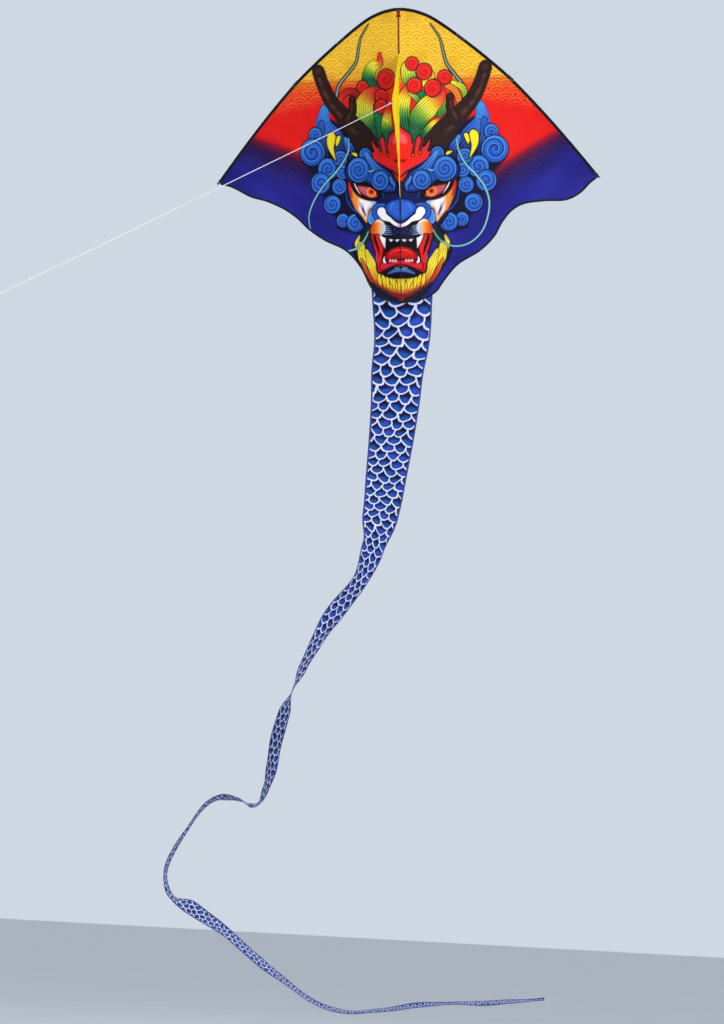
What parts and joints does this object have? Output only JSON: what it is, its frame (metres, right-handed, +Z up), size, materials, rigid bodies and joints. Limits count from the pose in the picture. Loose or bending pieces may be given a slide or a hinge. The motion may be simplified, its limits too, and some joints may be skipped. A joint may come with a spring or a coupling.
{
  "type": "delta kite",
  "caption": "Rounded delta kite with a dragon-face print, yellow keel, flying line and long fish-scale ribbon tail, shown flying.",
  "frame": {"origin": "the tow point, at the centre of the keel's eyelet, where the flying line holds the kite", "axes": "+Z up, with the kite at the lean it flies at; +X to the right of someone facing the printed side; -Y towards the flier"},
  "size_m": [1.9206, 3.1461, 4.3992],
  "materials": {
    "printed_sail": "satin",
    "black_edging": "matte",
    "fibreglass_rod": "satin",
    "ferrule_metal": "satin",
    "eyelet_metal": "satin",
    "black_rubber": "matte",
    "nose_patch": "matte",
    "yellow_keel": "satin",
    "white_line": "matte",
    "printed_tail": "satin"
  },
  "bodies": {
    "spine": {"sail_centre_strip": "printed_sail", "nose_pocket": "nose_patch", "spine_rod_upper": "fibreglass_rod", "spine_rod_lower": "fibreglass_rod", "spine_ferrule": "ferrule_metal", "spine_sleeve_upper": "black_edging", "spine_sleeve_lower": "black_edging", "spine_end_cap": "black_rubber", "tail_tab": "black_edging"},
    "right_wing": {"right_sail_panel": "printed_sail", "right_nose_arch_rod": "fibreglass_rod", "right_nose_arch_sleeve": "black_edging", "right_edge_ferrule": "ferrule_metal", "right_leading_edge_rod": "fibreglass_rod", "right_edge_sleeve_inner": "black_edging", "right_edge_sleeve_outer": "black_edging", "right_spreader_fitting": "black_rubber", "right_spreader_rod": "fibreglass_rod", "right_tip_nock": "black_rubber", "right_trailing_binding": "black_edging"},
    "left_wing": {"left_sail_panel": "printed_sail", "left_nose_arch_rod": "fibreglass_rod", "left_nose_arch_sleeve": "black_edging", "left_edge_ferrule": "ferrule_metal", "left_leading_edge_rod": "fibreglass_rod", "left_edge_sleeve_inner": "black_edging", "left_edge_sleeve_outer": "black_edging", "left_spreader_fitting": "black_rubber", "left_spreader_rod": "fibreglass_rod", "left_tip_nock": "black_rubber", "left_trailing_binding": "black_edging", "spreader_centre_ferrule": "ferrule_metal"},
    "keel": {"keel_panel": "yellow_keel", "keel_patch_right": "yellow_keel", "keel_patch_left": "yellow_keel", "keel_eyelet": "eyelet_metal"},
    "line": {"line_loop": "white_line", "line_knot": "white_line", "flying_line": "white_line", "line_end_knot": "white_line", "line_end_loop": "white_line"},
    "tail_upper": {"tail_top_hem": "black_edging", "tail_length_1": "printed_tail"},
    "tail_middle": {"tail_length_2": "printed_tail", "tail_length_3": "printed_tail"},
    "tail_lower": {"tail_length_4": "printed_tail", "tail_length_5": "printed_tail", "tail_length_6": "printed_tail"}
  },
  "joints": [
    {"name": "right_wing_fold", "type": "hinge", "parent": "spine", "child": "right_wing", "pos_m": [0, 0.27008, 0.06968], "axis": [0, 0.4848, -0.8746], "range_deg": [0, 63]},
    {"name": "left_wing_fold", "type": "hinge", "parent": "spine", "child": "left_wing", "pos_m": [0, 0.27008, 0.06968], "axis": [0, -0.4848, 0.8746], "range_deg": [0, 63]},
    {"name": "keel_swing", "type": "hinge", "parent": "spine", "child": "keel", "pos_m": [0, 0.26938, 0.06929], "axis": [0, 0.4848, -0.8746], "range_deg": [-20, 20]},
    {"name": "line_pivot", "type": "hinge", "parent": "keel", "child": "line", "pos_m": [0, 0, 0], "axis": [-1, 0, 0], "range_deg": [0, 20]},
    {"name": "tail_swing", "type": "hinge", "parent": "spine", "child": "tail_upper", "pos_m": [0, 0.64801, -0.5915], "axis": [1, 0, 0], "range_deg": [0, 35]},
    {"name": "tail_bend", "type": "hinge", "parent": "tail_upper", "child": "tail_middle", "pos_m": [-0.0635, 0.8088, -1.6665], "axis": [0.9542, 0.281, -0.103], "range_deg": [0, 45]},
    {"name": "tail_curl", "type": "hinge", "parent": "tail_middle", "child": "tail_lower", "pos_m": [-0.6653, 0.9409, -3.0003], "axis": [0.0351, -0.994, 0.104], "range_deg": [0, 35]}
  ]
}
